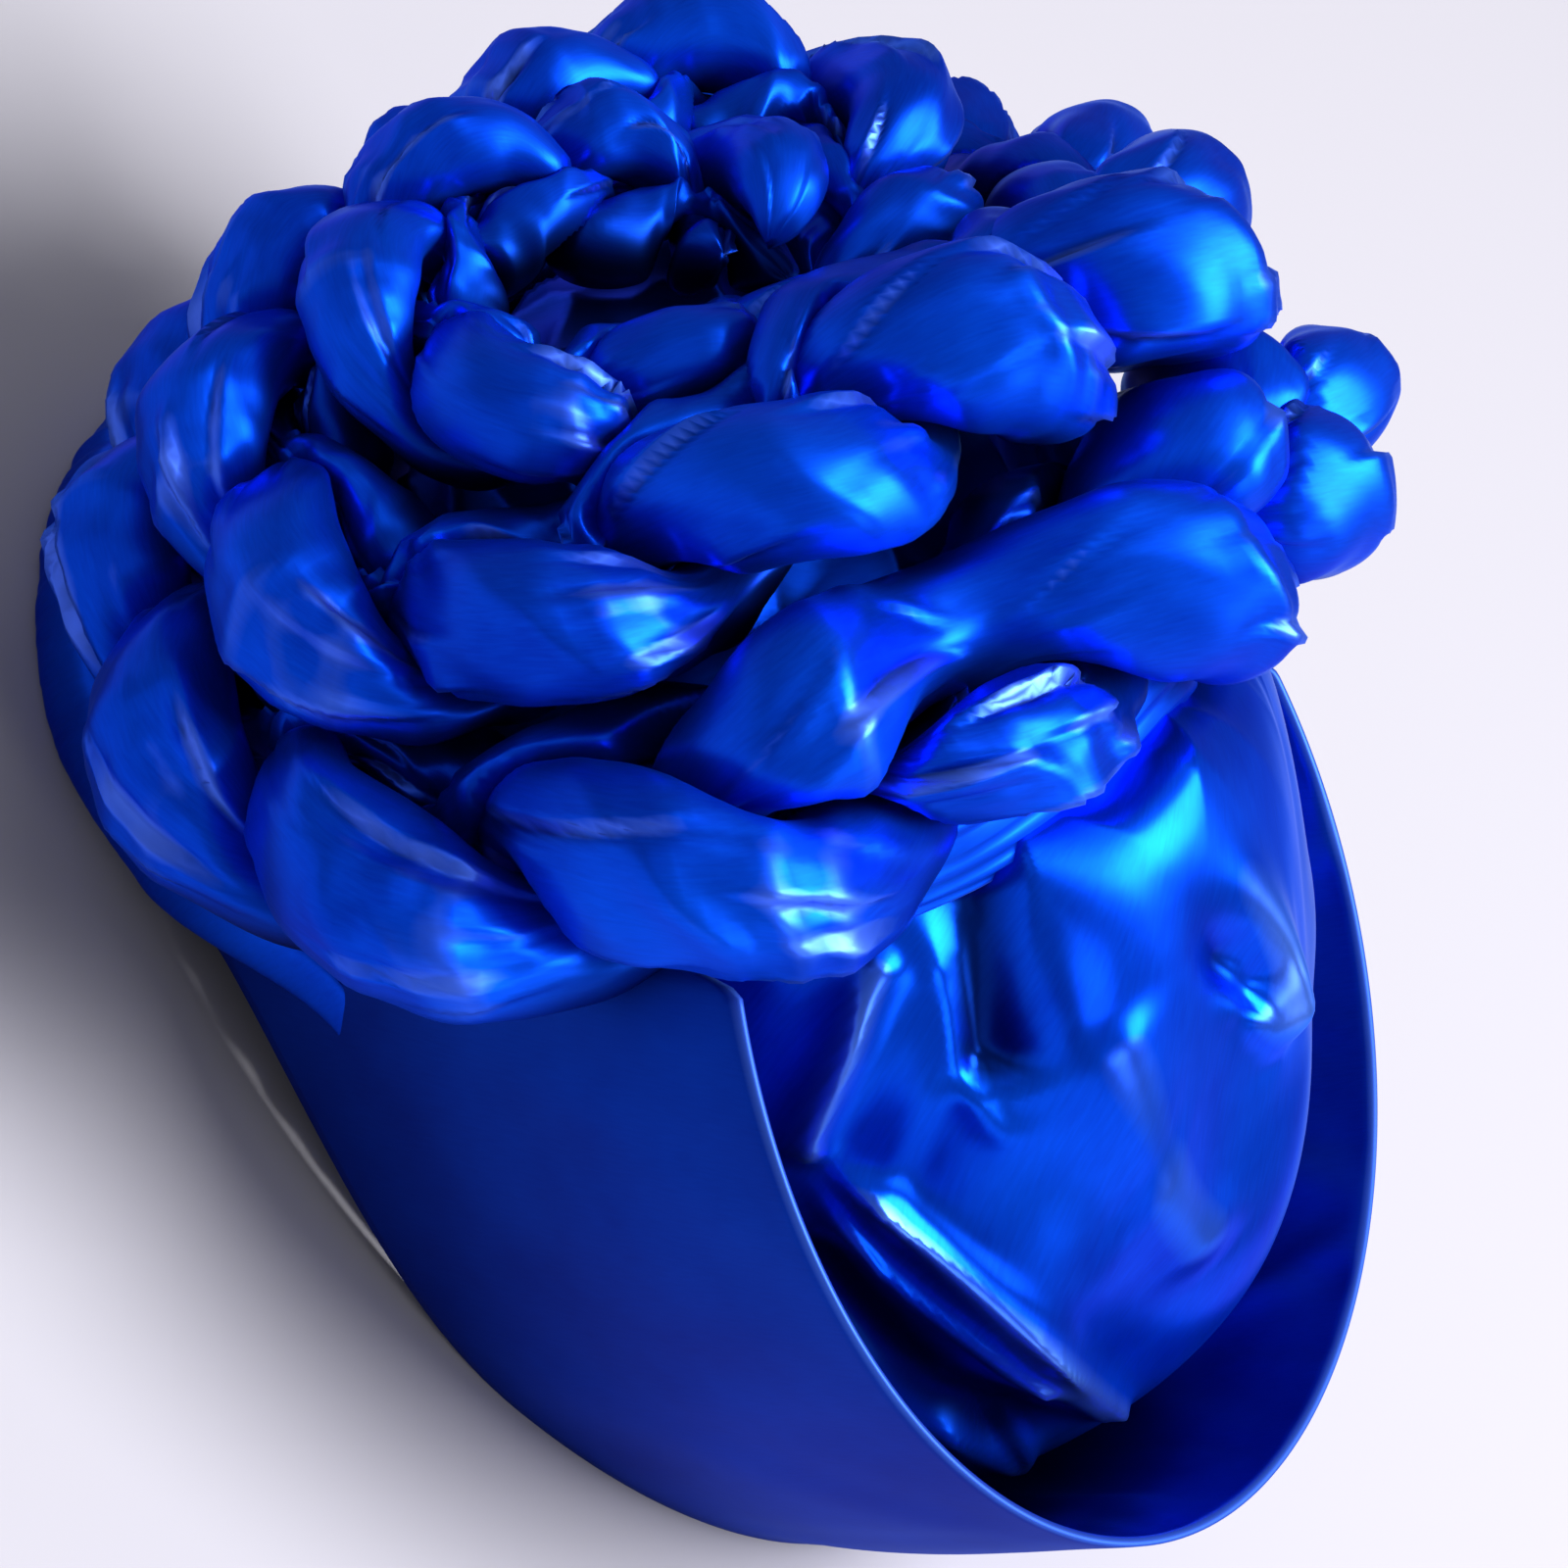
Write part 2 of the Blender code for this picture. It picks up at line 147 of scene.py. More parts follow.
# Folds of the crown: height (a valley is negative), half width, sharpness from 0 (round) to 1
# (pressed), and the points that the fold runs through; then how much more they stand out
CROWN_FOLDS = (
    (3.6, 3.2, 0.8, (
        (-65, -36, 60), (-55, -54, 60), (-43, -73, 57), (-34, -82, 53), (-20, -92, 46), (-10, -96, 41))),
    (3.0, 2.8, 0.8, (
        (-64, -38, 57), (-57, -54, 53), (-47, -70, 52), (-40, -78, 50), (-31, -86, 48), (-13, -95, 40))),
    (2.2, 2.6, 0.6, (
        (-44, -77, 37), (-37, -84, 34), (-30, -89, 31), (-18, -95, 27), (-26, -91, 35), (-33, -86, 40))),
    (1.9, 2.0, 0.8, (
        (-58, -19, 91), (-58, -30, 86), (-56, -40, 80), (-52, -48, 78),
        (-48, -48, 84), (-46, -40, 94), (-42, -34, 100))),
    (-5.6, 5.4, 0.0, (
        (-52, -10, 98), (-54, -22, 95), (-54, -34, 88), (-53, -44, 82))),
    (2.2, 2.4, 0.7, (
        (-42, -34, 100), (-37, -39, 100), (-31, -45, 100), (-23, -53, 98), (-12, -61, 94))),
    (-2.2, 4.5, 0.1, (
        (-38, -26, 104), (-31, -40, 103), (-23, -48, 101), (-15, -56, 98))),
    (4.4, 5.4, 0.4, (
        (-29, -14, 107), (-30, -25, 108), (-27, -33, 107), (-22, -40, 106),
        (-16, -48, 103), (-11, -57, 98), (-9, -65, 92))),
    (-4.4, 3.8, 0.2, (
        (-36, -10, 104), (-38, -22, 105), (-36, -32, 104), (-29, -42, 102), (-21, -51, 99))),
    (1.8, 1.8, 0.9, (
        (-23, -14, 109), (-21, -25, 110), (-17, -32, 109),
        (-12, -37, 108), (-8, -44, 105), (-7, -57, 98))),
    (2.2, 1.8, 0.8, (
        (-22, -15, 110), (-20, -23, 110), (-15, -29, 111),
        (-10, -30, 111), (-10, -26, 112), (-12, -18, 112))),
    (-2.5, 3.0, 0.1, (
        (-16, -16, 111), (-14, -24, 111))),
    (3.2, 3.4, 0.6, (
        (-61, -18, 86), (-64, -22, 80), (-65, -27, 73), (-65, -33, 62), (-65, -37, 58))),
    (2.0, 6.5, 0.0, (
        (-45, -40, 94), (-42, -50, 90), (-33, -65, 81), (-25, -75, 76), (-13, -84, 70))),
    (-1.1, 12.0, 0.0, (
        (-60, -42, 67), (-55, -49, 71), (-47, -57, 75), (-40, -62, 77), (-32, -68, 78))),
    (1.3, 1.8, 0.6, (
        (-58, -12, 90), (-59, -21, 89), (-59, -27, 87))),
    (1.3, 1.8, 0.6, (
        (-54, -12, 94), (-56, -21, 93), (-57, -27, 90))),
    (1.3, 1.6, 0.6, (
        (-41, -12, 102), (-44, -22, 101), (-47, -28, 99), (-47, -35, 95))),
    (-5.0, 6.0, 0.1, (
        (-62, -42, 50), (-55, -58, 46), (-46, -72, 43), (-35, -84, 40), (-18, -93, 33))),
)
RIDGE_BOOST = 1.35
VALLEY_BOOST = 1.1

# Soft dents pressed into the band's inner face: angle, slant and depth
BAND_DENTS = (
    (-88.0, 20.0, 0.8),
    (-66.0, -30.0, 1.2),
    (-44.0, 24.0, 0.9),
    (-20.0, -26.0, 1.1),
    (12.0, 18.0, 0.8),
)

# Tucked edge of satin: points of its free edge, from the front to the back
TUCKED_EDGE = (
    (-12, -18, 109), (-23, -17, 109), (-35, -18, 104), (-50, -17, 97), (-60, -14, 89), (-65, -12, 81),
)

# Tucked roll: how far it sits in from that edge and out from it, and its section in radii
ROLL_INWARD = 8.5
ROLL_OUTWARD = 4.2
ROLL_WIDE = 2.6
ROLL_THICK = 0.75

# How the strands swing and cross, in shares of the plait's width; those that come from the coil's
# outer edge lie higher and fuller than those that come from its middle
STRANDS = 3
SWING_ACROSS = 0.22
SWING_OUT = 0.13
LEAD_HEIGHT = 0.85
LEAD_RADIUS = 0.15
LEAD_PHASE = 45.0
PHASE_START = 60.0
CYCLE_LENGTH = 2.5

# How the strands are cut into sections, and how those press on their neighbours
SECTION_SIDES = 100
SECTION_STEP = 4.5
NEIGHBOUR_STEP = 12.0
OWN_PHASES = 150.0
PRESS_REACH = 42.0
PRESS_GAP = 0.12
PRESS_POWER = 9.0

# Lobes of a strand, in degrees of its phase, and the creases on them: their pitch and width, where a
# lengthwise crease's width is that of the painted highlight on its crest, and the limits that they are
# drawn between
LOBE_TURN = 180.0
LOBE_MIDDLE = 135.0
LOBE_BLEND = 62.0
LOBE_HALF = 80.0
CREASE_SPAN = 112.0
CREASE_PITCH = 12.5
PAINTED_HIGHLIGHT_WIDTH = 1.1
CROSS_PITCH = 27.0
CROSS_WIDTH = 2.6
CREASE_LIMITS = ((-0.5, 0.1, 0.45, 0.15), (0.5, 0.9, 1.35, 1.35))
CROSS_LIMITS = ((-0.08, -0.02, 0.02, 0.4), (0.08, 0.1, 0.12, 0.95))

# Lobes that lie differently from the rest: strand, lobe, change of radius and change of height
ODD_LOBES = (
    (1, 2, 0.04, 0.1),
    (2, 3, -0.28, -0.6),
    (0, 2, -0.4, -0.9),
    (2, 4, -0.05, 0.0),
    (1, 3, 0.42, 1.1),
    (1, 1, 0.3, 0.3),
    (1, 0, 0.5, 0.3),
    (2, 1, 0.2, 0.2),
    (0, 1, 0.55, 1.2),
    (2, 12, 0.3, 0.0),
    (1, 12, 0.08, 0.0),
)

# Satins: the width of their drawn yarns, the length of their soft unevenness, and for each one the
# part that gives it its colours, its roughness and its metallic share
YARN_WIDTH = 0.45
SLUB_LENGTH = 28.0
SATINS = {
    # Stiffened duchess satin: a dense, dull face with a wide weak sheen
    "duchess_satin": ("band", 0.5, 0.7),
    # Crepe-backed satin: thin and slippery, with deep shadows and bright wet-looking folds
    "crepe_back_satin": ("crown", 0.28, 0.88),
    # Charmeuse satin: long floats give strong, soft, coloured highlights
    "charmeuse_satin": ("plait", 0.38, 0.82),
}

# Camera of the photograph: bearing, elevation and roll in degrees, and its aim in millimetres
CAMERA_AZIMUTH = -93.0
CAMERA_ELEVATION = 31.5
CAMERA_ROLL = 56.2
CAMERA_AIM = (-5.2, 95.54, 52.0)
CAMERA_DISTANCE = 624.0
CAMERA_LENS = 104.9


def smooth(edge0, edge1, value):
    """Rise smoothly from 0 to 1 between two edges, for a number or an array."""
    share = np.clip((value - edge0) / (edge1 - edge0), 0.0, 1.0)
    return share * share * (3.0 - 2.0 * share)


def unit(vectors):
    """Vectors of length 1."""
    return vectors / np.linalg.norm(vectors, axis=-1, keepdims=True)


def bell(distance, width):
    """Soft bump of height 1 at distance 0."""
    return np.exp(-(distance / width) ** 2)


def pleat(distance):
    """Profile across a crease: a crest that falls off slowly on one side and sharply on the other."""
    side = np.tanh(distance / 0.45)
    crest = 0.5 * (1.0 + side) * np.exp(-np.abs(distance) / 2.6)
    groove = 0.45 * (1.0 - side) * np.exp(-np.abs(distance) / 1.1)
    return crest - groove


def smooth_path(points, step):
    """Points along a smooth curve through the given ones, with some steps between each two."""
    path = np.array(points, dtype=float)
    path = np.concatenate((2.0 * path[:1] - path[1:2], path, 2.0 * path[-1:] - path[-2:-1]))
    parts = []
    for place in range(len(path) - 3):
        before, start, end, after = path[place:place + 4]
        share = np.arange(step)[:, None] / step
        parts.append(
            start + 0.5 * share * (end - before)
            + share ** 2 * (before - 2.5 * start + 2.0 * end - 0.5 * after)
            + share ** 3 * (1.5 * (start - end) + 0.5 * (after - before))
        )
    return np.concatenate(parts + [path[-2:-1]])


def waves(seed, x, y, scale, layers=4):
    """Smooth repeatable unevenness between about -1 and 1, from crossing waves."""
    draw = np.random.default_rng(seed)
    total = np.zeros(np.broadcast(x, y).shape)
    for layer in range(layers):
        turn, phase = draw.uniform(0.0, math.tau, 2)
        pitch = scale / (1.0 + 0.7 * layer)
        along = (x * math.cos(turn) + y * math.sin(turn)) * math.tau / pitch
        total += np.sin(along + phase + 1.3 * np.sin(0.6 * along + turn)) / (1.0 + 0.5 * layer)
    return total / 2.2


def rim_points(angles, inset=0.0):
    """Rim ellipse, moved inward by an inset, for an array of angles in degrees."""
    turn = np.radians(angles)
    ahead = np.cos(turn)
    length = np.where(ahead > 0.0, RIM_FRONT, RIM_BACK * (1.0 - RIM_BACK_FLATTENING * ahead ** 2))
    flat = np.zeros_like(turn)
    return np.stack((-(RIM_HALF_WIDTH - inset) * np.sin(turn), -(length - inset) * ahead, flat), -1)


def rim_lift(angles):
    """Height of the rim over the ears."""
    side = np.abs(angles)
    return EAR_LIFT * smooth(EAR_FRONT, EAR_TOP, side) * (1.0 - smooth(EAR_TOP, EAR_BACK, side))


def loop_points(angles):
    """Upper edge of the band."""
    turn = np.radians(angles)
    pitch = math.radians(LOOP_PITCH)
    along = -LOOP_HALF_LENGTH * np.cos(turn)
    across = -LOOP_HALF_WIDTH * np.sin(turn)
    offsets = np.stack((across, along * math.cos(pitch), along * math.sin(pitch)), -1)
    return np.array(LOOP_MIDDLE) + offsets


def srgb(value):
    """Linear colour with alpha from an sRGB hex value such as 0x123456."""
    parts = [(value >> shift & 255) / 255.0 for shift in (16, 8, 0)]
    linear = [p / 12.92 if p <= 0.04045 else ((p + 0.055) / 1.055) ** 2.4 for p in parts]
    return (*linear, 1.0)


def deselect_all():
    """Leave nothing selected."""
    for thing in bpy.context.view_layer.objects:
        thing.select_set(False)
    bpy.context.view_layer.objects.active = None


def mesh_piece(name, points, faces, coords, material, node, shade=1.0, fold=0.0):
    """Make a piece from points and cloth coordinates in millimetres, none of it below the floor.

    The argument shade is painted shade, a share that the colour is scaled by: 1 where the cloth lies
    open and 0 deep between its neighbours. The argument fold is a painted highlight, 1 on the top of
    a fold. Both are kept as point attributes. The piece stands for one solid, its node.
    """
    data = bpy.data.meshes.new(name)
    points = points.reshape(-1, 3)
    moved = (points + np.array((0.0, ORIGIN_SHIFT, 0.0))) * MM
    moved[:, 2] = np.maximum(moved[:, 2], 0.0)
    data.from_pydata(moved.tolist(), [], faces)
    layer = data.uv_layers.new(name="cloth")
    corners = np.empty(len(data.loops), dtype=np.int32)
    data.loops.foreach_get("vertex_index", corners)
    layer.data.foreach_set("uv", (coords[corners] * MM).ravel())
    # Painted shade and painted highlight, kept point by point for the material
    for key, values in (("cover_light", shade), ("fold_height", fold)):
        attribute = data.attributes.new(key, "FLOAT", "POINT")
        filled = np.full(len(points), np.ravel(values), dtype=np.float32)
        attribute.data.foreach_set("value", filled)
    data.shade_smooth()
    piece = bpy.data.objects.new(name, data)
    bpy.context.collection.objects.link(piece)
    data.materials.append(material)
    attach(piece, "root")
    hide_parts(node)
    return piece


def tube_faces(rows, sides):
    """Quads of a tube of rings, facing outward, and its two end caps."""
    i, j = np.meshgrid(np.arange(rows - 1), np.arange(sides), indexing="ij")
    k = (j + 1) % sides
    quads = np.stack((i * sides + j, i * sides + k, (i + 1) * sides + k, (i + 1) * sides + j), -1)
    faces = quads.reshape(-1, 4).tolist()
    faces.append(list(range(sides))[::-1])
    faces.append(list(range((rows - 1) * sides, rows * sides)))
    return faces


def cloth_coords(across, along):
    """Cloth coordinates of all points, from two arrays that fit each other's shape."""
    return np.stack(np.broadcast_arrays(across, along), -1).reshape(-1, 2)


def add_node(tree, kind, settings=(), inputs=(), links=()):
    """Add a shader node with its settings, input values and links from other nodes' outputs."""
    node = tree.nodes.new(kind)
    for key, value in dict(settings).items():
        setattr(node, key, value)
    for key, value in dict(inputs).items():
        node.inputs[key].default_value = value
    for key, (source, output) in dict(links).items():
        tree.links.new(source.outputs[output], node.inputs[key])
    return node


def satin_material(name, ground, floats, crest, roughness, metallic):
    """Woven satin: long floats of bright yarn over a darker ground. The colour crest is a painted
    highlight on the tops of folds, and painted shade darkens the colour in gaps and creases.

    The real yarn is about 0.1 mm wide; it is drawn coarser here so that it shows.
    """
    material = bpy.data.materials.new(name)
    material.use_nodes = True
    tree = material.node_tree
    shader = tree.nodes["Principled BSDF"]
    cloth = add_node(tree, "ShaderNodeUVMap", {"uv_map": "cloth"})
    stretch = add_node(
        tree, "ShaderNodeMapping", {},
        {"Scale": (1.0, 0.12, 1.0)}, {"Vector": (cloth, "UV")},
    )
    yarn = add_node(
        tree, "ShaderNodeTexNoise", {},
        {"Scale": 1.0 / (YARN_WIDTH * MM), "Detail": 2.0, "Roughness": 0.6},
        {"Vector": (stretch, "Vector")},
    )
    place = add_node(tree, "ShaderNodeTexCoord")
    cloud = add_node(
        tree, "ShaderNodeTexNoise", {},
        {"Scale": 1.0 / (SLUB_LENGTH * MM), "Detail": 3.0, "Roughness": 0.55},
        {"Vector": (place, "Object")},
    )
    blend = add_node(
        tree, "ShaderNodeMath", {"operation": "MULTIPLY_ADD"},
        {1: 0.35}, {0: (yarn, "Fac"), 2: (cloud, "Fac")},
    )
    colours = add_node(tree, "ShaderNodeValToRGB", {}, {}, {"Fac": (blend, "Value")})
    colours.color_ramp.elements[0].position = 0.45
    colours.color_ramp.elements[0].color = ground
    colours.color_ramp.elements[1].position = 0.95
    colours.color_ramp.elements[1].color = floats
    # Painted highlight: the crest colour is mixed over the yarn colours on the tops of folds
    fold = add_node(tree, "ShaderNodeAttribute", {"attribute_name": "fold_height"})
    top = add_node(
        tree, "ShaderNodeMapRange", {},
        {"From Min": 0.35, "To Max": 0.5}, {"Value": (fold, "Fac")},
    )
    painted_highlight_mix = add_node(
        tree, "ShaderNodeMix", {"data_type": "RGBA"}, {},
        {"Factor": (top, "Result"), "A": (colours, "Color")},
    )
    painted_highlight_mix.inputs[7].default_value = crest
    # Painted shade: the colour is scaled down to 7 per cent deep between parts and in creases
    painted_shade_input = add_node(tree, "ShaderNodeAttribute", {"attribute_name": "cover_light"})
    painted_shade_scale = add_node(
        tree, "ShaderNodeMapRange", {},
        {"To Min": 0.07}, {"Value": (painted_shade_input, "Fac")},
    )
    shaded = add_node(
        tree, "ShaderNodeVectorMath", {"operation": "SCALE"}, {},
        {0: (painted_highlight_mix, 2), "Scale": (painted_shade_scale, "Result")},
    )
    relief = add_node(
        tree, "ShaderNodeBump", {}, {"Strength": 0.12, "Distance": 0.05 * MM},
        {"Height": (yarn, "Fac")},
    )
    tree.links.new(shaded.outputs["Vector"], shader.inputs["Base Color"])
    tree.links.new(relief.outputs["Normal"], shader.inputs["Normal"])
    float_run = add_node(tree, "ShaderNodeTangent", {"direction_type": "UV_MAP", "uv_map": "cloth"})
    tree.links.new(float_run.outputs["Tangent"], shader.inputs["Tangent"])
    shader.inputs["Roughness"].default_value = roughness
    shader.inputs["Metallic"].default_value = metallic
    shader.inputs["IOR"].default_value = 1.53
    shader.inputs["Specular Tint"].default_value = srgb(0x5CA8FF)
    shader.inputs["Anisotropic"].default_value = 0.55
    return material


def length_property(name, description, millimetres, least):
    """Panel entry for a length."""
    return bpy.props.FloatProperty(
        name=name, description=description, default=millimetres * MM, min=least * MM,
        unit="LENGTH", precision=4,
    )


def colour_property(name, description, value):
    """Panel entry for a colour, from its sRGB hex value."""
    return bpy.props.FloatVectorProperty(
        name=name, description=description, default=srgb(value), size=4, min=0.0, max=1.0,
        subtype="COLOR",
    )


def power_property(name, description, watts):
    """Panel entry for the power of a light."""
    return bpy.props.FloatProperty(
        name=name, description=description, default=watts, min=0.0, unit="POWER",
    )


class CapSizes(bpy.types.PropertyGroup):
    """Sizes that a user would change."""

    band_bow: length_property("Band bow", "How far the band's face bows outward", 2.0, 0.0)
    band_edge: length_property("Band edge", "Thickness of the band at its folded edge", 1.4, 0.5)
    crown_height: length_property("Crown height", "Height of the crown's dome", 106.0, 60.0)
    crown_wall: length_property("Crown wall", "Thickness of the gathered cloth", 1.6, 0.5)
    crease_depth: length_property("Crease depth", "Depth of the pinch creases in a strand", 2.1, 0.0)
    roll_radius: length_property("Roll radius", "Radius of the tucked roll", 3.6, 1.0)
    hem_depth: length_property("Hem depth", "How far the padded hem stands out at the nape", 7.5, 1.0)
    strand_share: bpy.props.FloatProperty(
        name="Strand share", description="Free radius of a strand as a share of the plait's width",
        default=0.278, min=0.1, max=0.5, subtype="FACTOR",
    )


class CapColours(bpy.types.PropertyGroup):
    """Colours of the three satins, their painted highlights, and the floor."""

    band_ground: colour_property("Band ground", "Darker yarn of the band's satin", 0x02228C)
    band_float: colour_property("Band floats", "Brighter yarn of the band's satin", 0x0434A8)
    # Painted highlight along the band's folded upper edge
    band_crest: colour_property("Band edge", "Light pressed edge of the band", 0x5C8CFF)
    crown_ground: colour_property("Crown ground", "Darker yarn of the crown's satin", 0x0236C4)
    crown_float: colour_property("Crown floats", "Brighter yarn of the crown's satin", 0x0452F0)
    # Painted highlight on the tops of the crown's folds
    crown_crest: colour_property("Crown crests", "Light tops of the crown's folds", 0x70A0FF)
    plait_ground: colour_property("Plait ground", "Darker yarn of the plait's satin", 0x0232BC)
    plait_float: colour_property("Plait floats", "Brighter yarn of the plait's satin", 0x0450EC)
    # Painted highlight on the tops of the plait's creases
    plait_crest: colour_property("Plait crests", "Light tops of the plait's creases", 0x6088FF)
    floor: colour_property("Floor", "Matte paper that the cap rests on", 0xA4A2AA)


class CapLight(bpy.types.PropertyGroup):
    """Light of the scene."""

    key_power: power_property("Key light", "Power of the main soft light", 150.0)
    top_power: power_property("Top light", "Power of the soft light from above", 1.5)
    front_power: power_property("Front light", "Power of the soft light from the front", 2.5)
    fill_power: power_property("Fill light", "Power of the soft light from the side", 0.7)
    sky_strength: bpy.props.FloatProperty(
        name="Sky", description="Strength of the even pale light all round", default=0.4, min=0.0,
    )


def scene_sizes():
    """The panel's sizes, with the lengths in millimetres."""
    group = bpy.context.scene.cap_sizes
    sizes = {name: getattr(group, name) / MM for name in CapSizes.__annotations__}
    sizes["strand_share"] = group.strand_share
    return SimpleNamespace(**sizes)


def cap_material(name):
    """One of the cap's satins, made the first time that it is asked for."""
    material = bpy.data.materials.get(name)
    if material is not None:
        return material
    part, roughness, metallic = SATINS[name]
    colours = bpy.context.scene.cap_colours
    # The two yarn colours, then the colour of the painted highlight
    dye_and_painted_highlight = [getattr(colours, f"{part}_{yarn}") for yarn in ("ground", "float", "crest")]
    return satin_material(name, *dye_and_painted_highlight, roughness, metallic)


def row_values(column, turns):
    """One column of the coil's table at an array of turns, on a smooth curve through its rows."""
    place = turns / ROW_STEP
    index = place.astype(int)
    share = place - index
    last = len(COIL_ROWS) - 1
    before, start, end, after = (
        COIL_ROWS[np.clip(index + step, 0, last), column] for step in (-1, 0, 1, 2)
    )
    slope0 = (end - before) / 2.0
    slope1 = (after - start) / 2.0
    return (
        start * (1.0 + 2.0 * share) * (1.0 - share) ** 2
        + slope0 * share * (1.0 - share) ** 2
        + end * share ** 2 * (3.0 - 2.0 * share)
        + slope1 * share ** 2 * (share - 1.0)
    )


def coil_basis():
    """Axis of the coil, and the two directions of its plane."""
    axis = unit(np.array(COIL_AXIS))
    side = unit(np.array((1.0, 0.0, 0.0)) - axis * axis[0])
    return axis, side, np.cross(axis, side)


def coil_spokes(turns):
    """Axis of the coil, and the directions from it out to the plait at an array of turns."""
    axis, side, up = coil_basis()
    angle = np.radians(turns)[:, None]
    return axis, side * np.cos(angle) - up * np.sin(angle)


def coil_points(turns):
    """Middle line of the plait at an array of turns."""
    axis, spokes = coil_spokes(turns)
    rise = row_values(RISE, turns)[:, None]
    return np.array(COIL_MIDDLE) + axis * rise + spokes * row_values(RADIUS, turns)[:, None]


def coil_frames(turns):
    """Middles, directions across the plait and outward directions."""
    axis, spokes = coil_spokes(turns)
    lean = np.radians(COIL_LEAN * row_values(RADIUS, turns))[:, None]
    tangent = unit(coil_points(turns + 1.5) - coil_points(turns - 1.5))
    outward = axis * np.cos(lean) + spokes * np.sin(lean)
    outward = unit(outward - tangent * (outward * tangent).sum(-1, keepdims=True))
    across = np.cross(outward, tangent)
    across *= np.sign((across * spokes).sum(-1, keepdims=True))
    return coil_points(turns), across, outward


def plait_stations(step):
    """Turns and phases of the plait's cross-sections, at equal steps of phase in degrees."""
    turns = np.arange(COIL_START, COIL_END, 0.25)
    lengths = np.linalg.norm(np.diff(coil_points(turns), axis=0), axis=1)
    growth = 360.0 * lengths / (CYCLE_LENGTH * row_values(WIDTH, turns[:-1]))
    phases = PHASE_START + np.concatenate(((0.0,), np.cumsum(growth)))
    wanted = np.arange(PHASE_START, phases[-1], step)
    return np.interp(wanted, phases, turns), wanted


def strand_line(turns, phases, strand):
    """Centres of one strand, and its lead over its neighbours, from -1 to 1."""
    middle, across, outward = coil_frames(turns)
    width = row_values(WIDTH, turns)[:, None]
    angle = np.radians(phases + strand * 360.0 / STRANDS)[:, None]
    lead = np.sin(angle - math.radians(LEAD_PHASE))
    height = -np.sin(2.0 * angle) + LEAD_HEIGHT * lead
    for place, lobe, fuller, higher in ODD_LOBES:
        if place == strand:
            near = bell(np.degrees(angle) - lobe * LOBE_TURN - LOBE_MIDDLE, LOBE_BLEND)
            lead = lead + near * fuller / LEAD_RADIUS
            height = height + near * higher
    centres = middle + width * (SWING_ACROSS * across * np.sin(angle) + SWING_OUT * outward * height)
    return centres, lead[:, 0]


def squash_reach(centres, radii, rays, others, other_radii, apart):
    """How far each strand section reaches along its rays before it presses on a neighbour."""
    result = np.empty(rays.shape[:2])
    for place, centre in enumerate(centres):
        ways = others - centre
        distances = np.linalg.norm(ways, axis=1)
        near = (distances < PRESS_REACH) & apart[place]
        ways, distances, sizes = ways[near], distances[near], other_radii[near]
        facing = rays[place] @ (ways / distances[:, None]).T
        halfway = (distances ** 2 + radii[place] ** 2 - sizes ** 2) / (2.0 * distances) - PRESS_GAP
        walls = np.maximum(0.6, halfway)[None, :] / np.maximum(facing, 0.05)
        press = np.where(facing > 0.05, walls, np.inf) ** -PRESS_POWER
        result[place] = (radii[place] ** -PRESS_POWER + press.sum(1)) ** (-1.0 / PRESS_POWER)
    return result


